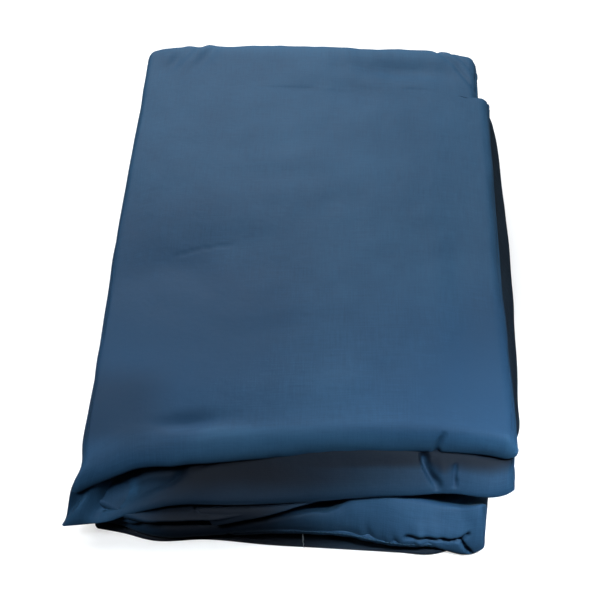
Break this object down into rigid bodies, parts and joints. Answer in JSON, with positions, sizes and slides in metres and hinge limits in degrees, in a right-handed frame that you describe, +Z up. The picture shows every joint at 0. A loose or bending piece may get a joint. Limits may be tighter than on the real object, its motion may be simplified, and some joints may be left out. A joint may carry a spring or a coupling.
{
  "type": "spa cover",
  "caption": "Soft coated-fabric spa cover stored as a folded packet: stacked cloth leaves with rolled front folds that open about the back fold.",
  "frame": {"origin": "centre of the folded packet's footprint, on the surface it lies on", "axes": "+X to the right along the front folds, +Y from the front folds to the back fold, +Z up"},
  "size_m": [0.334, 0.49, 0.086],
  "materials": {
    "cover_fabric": "thin coated polyester, plain weave, satin sheen",
    "skirt_fabric": "thin coated polyester, plain weave, satin sheen",
    "elastic": "flat braided elastic"
  },
  "bodies": {
    "lower_half": {"back_fold_roll": "cover_fabric", "skirt_leaf_1": "skirt_fabric", "skirt_leaf_2": "skirt_fabric", "skirt_leaf_3": "skirt_fabric", "skirt_flap": "skirt_fabric", "hem_leaf": "skirt_fabric", "rolled_hem": "skirt_fabric", "hem_elastic": "elastic", "base_leaf": "skirt_fabric", "lower_side_plies": "skirt_fabric"},
    "upper_half": {"top_leaf": "cover_fabric", "second_leaf": "cover_fabric", "pointed_corner": "cover_fabric", "side_tuck": "cover_fabric", "upper_side_plies": "cover_fabric"}
  },
  "joints": [
    {"name": "main_fold", "type": "hinge", "parent": "lower_half", "child": "upper_half", "pos_m": [0, 0.2353, 0.04335], "axis": [-1, 0, 0], "range_deg": [0, 180]}
  ]
}
